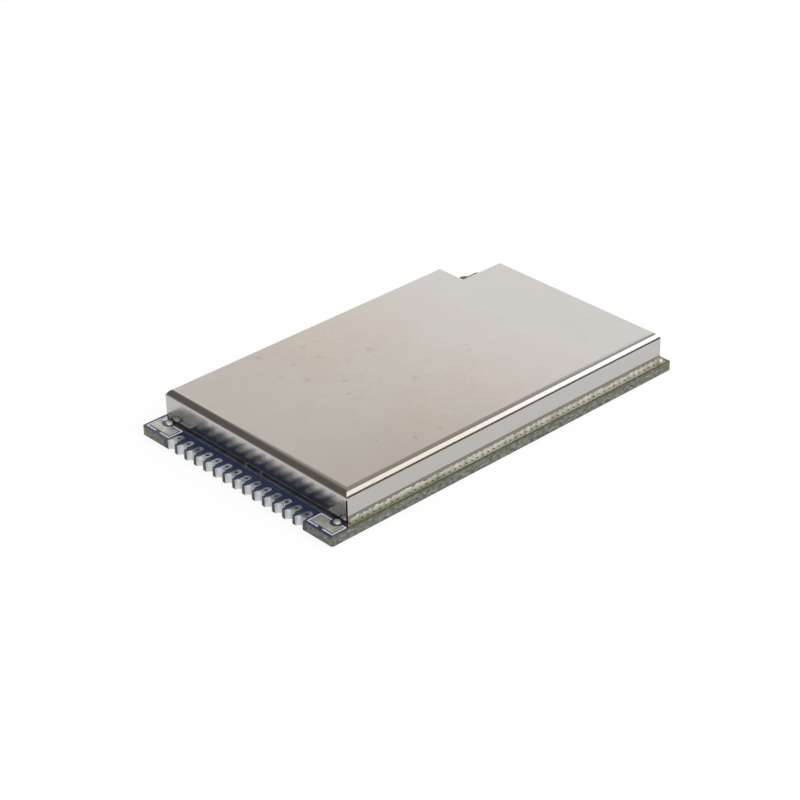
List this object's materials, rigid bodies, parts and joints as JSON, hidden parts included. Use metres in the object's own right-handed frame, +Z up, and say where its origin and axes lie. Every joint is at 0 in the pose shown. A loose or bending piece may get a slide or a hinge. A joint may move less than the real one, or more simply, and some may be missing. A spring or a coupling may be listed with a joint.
{
  "type": "rfid reader module",
  "caption": "Surface-mount radio tag reader module: castellated circuit board under a folded shield can with a notched corner for a coaxial antenna socket.",
  "frame": {"origin": "middle of the board's underside", "axes": "+X along the board's length from the castellated edge to the notched end, +Y across it, +Z up through the can"},
  "size_m": [0.0406, 0.0244, 0.0038],
  "materials": {
    "laminate": "routed glass-fibre laminate",
    "solder_mask": "glossy dark blue film",
    "terminal_plating": "bright tin plating",
    "tinned_land": "levelled tin",
    "tinned_strip": "dull tin with flux film",
    "silkscreen": "printed ink",
    "via_fill": "matt plug",
    "can_sheet": "smooth rolled nickel silver",
    "solder": "bright solder",
    "black_moulding": "matt epoxy",
    "lead_metal": "tin plated",
    "ferrite": "sintered",
    "ochre_moulding": "matt epoxy",
    "grey_ceramic": "fired",
    "white_ceramic": "fired",
    "brown_ceramic": "fired",
    "socket_plastic": "moulded",
    "socket_gold": "gold plated"
  },
  "bodies": {
    "root": {"laminate": "laminate", "top_solder_mask": "solder_mask", "bottom_solder_mask": "solder_mask", "edge_terminals": "terminal_plating", "corner_lands": "tinned_land", "corner_vias": "tinned_land", "silkscreen_frames": "silkscreen", "ground_frame": "tinned_strip", "via_plugs": "via_fill", "shield_can": "can_sheet", "can_solder": "solder", "component_lands": "tinned_land", "reader_chip": "black_moulding", "reader_chip_leads": "lead_metal", "power_amplifier": "black_moulding", "power_amplifier_leads": "lead_metal", "controller_chip": "black_moulding", "controller_chip_leads": "lead_metal", "regulator": "black_moulding", "regulator_leads": "lead_metal", "inductor_core": "ferrite", "inductor_terminals": "lead_metal", "bulk_capacitors": "ochre_moulding", "bulk_capacitor_ends": "lead_metal", "oscillator_base": "grey_ceramic", "oscillator_lid": "lead_metal", "coupler": "white_ceramic", "coupler_ends": "lead_metal", "antenna_filter": "white_ceramic", "antenna_filter_ends": "lead_metal", "chip_capacitors": "brown_ceramic", "chip_capacitor_ends": "lead_metal", "chip_resistors": "black_moulding", "chip_resistor_ends": "lead_metal", "antenna_socket_base": "socket_plastic", "antenna_socket_shell": "socket_gold", "antenna_socket_pin": "socket_gold"}
  },
  "joints": []
}
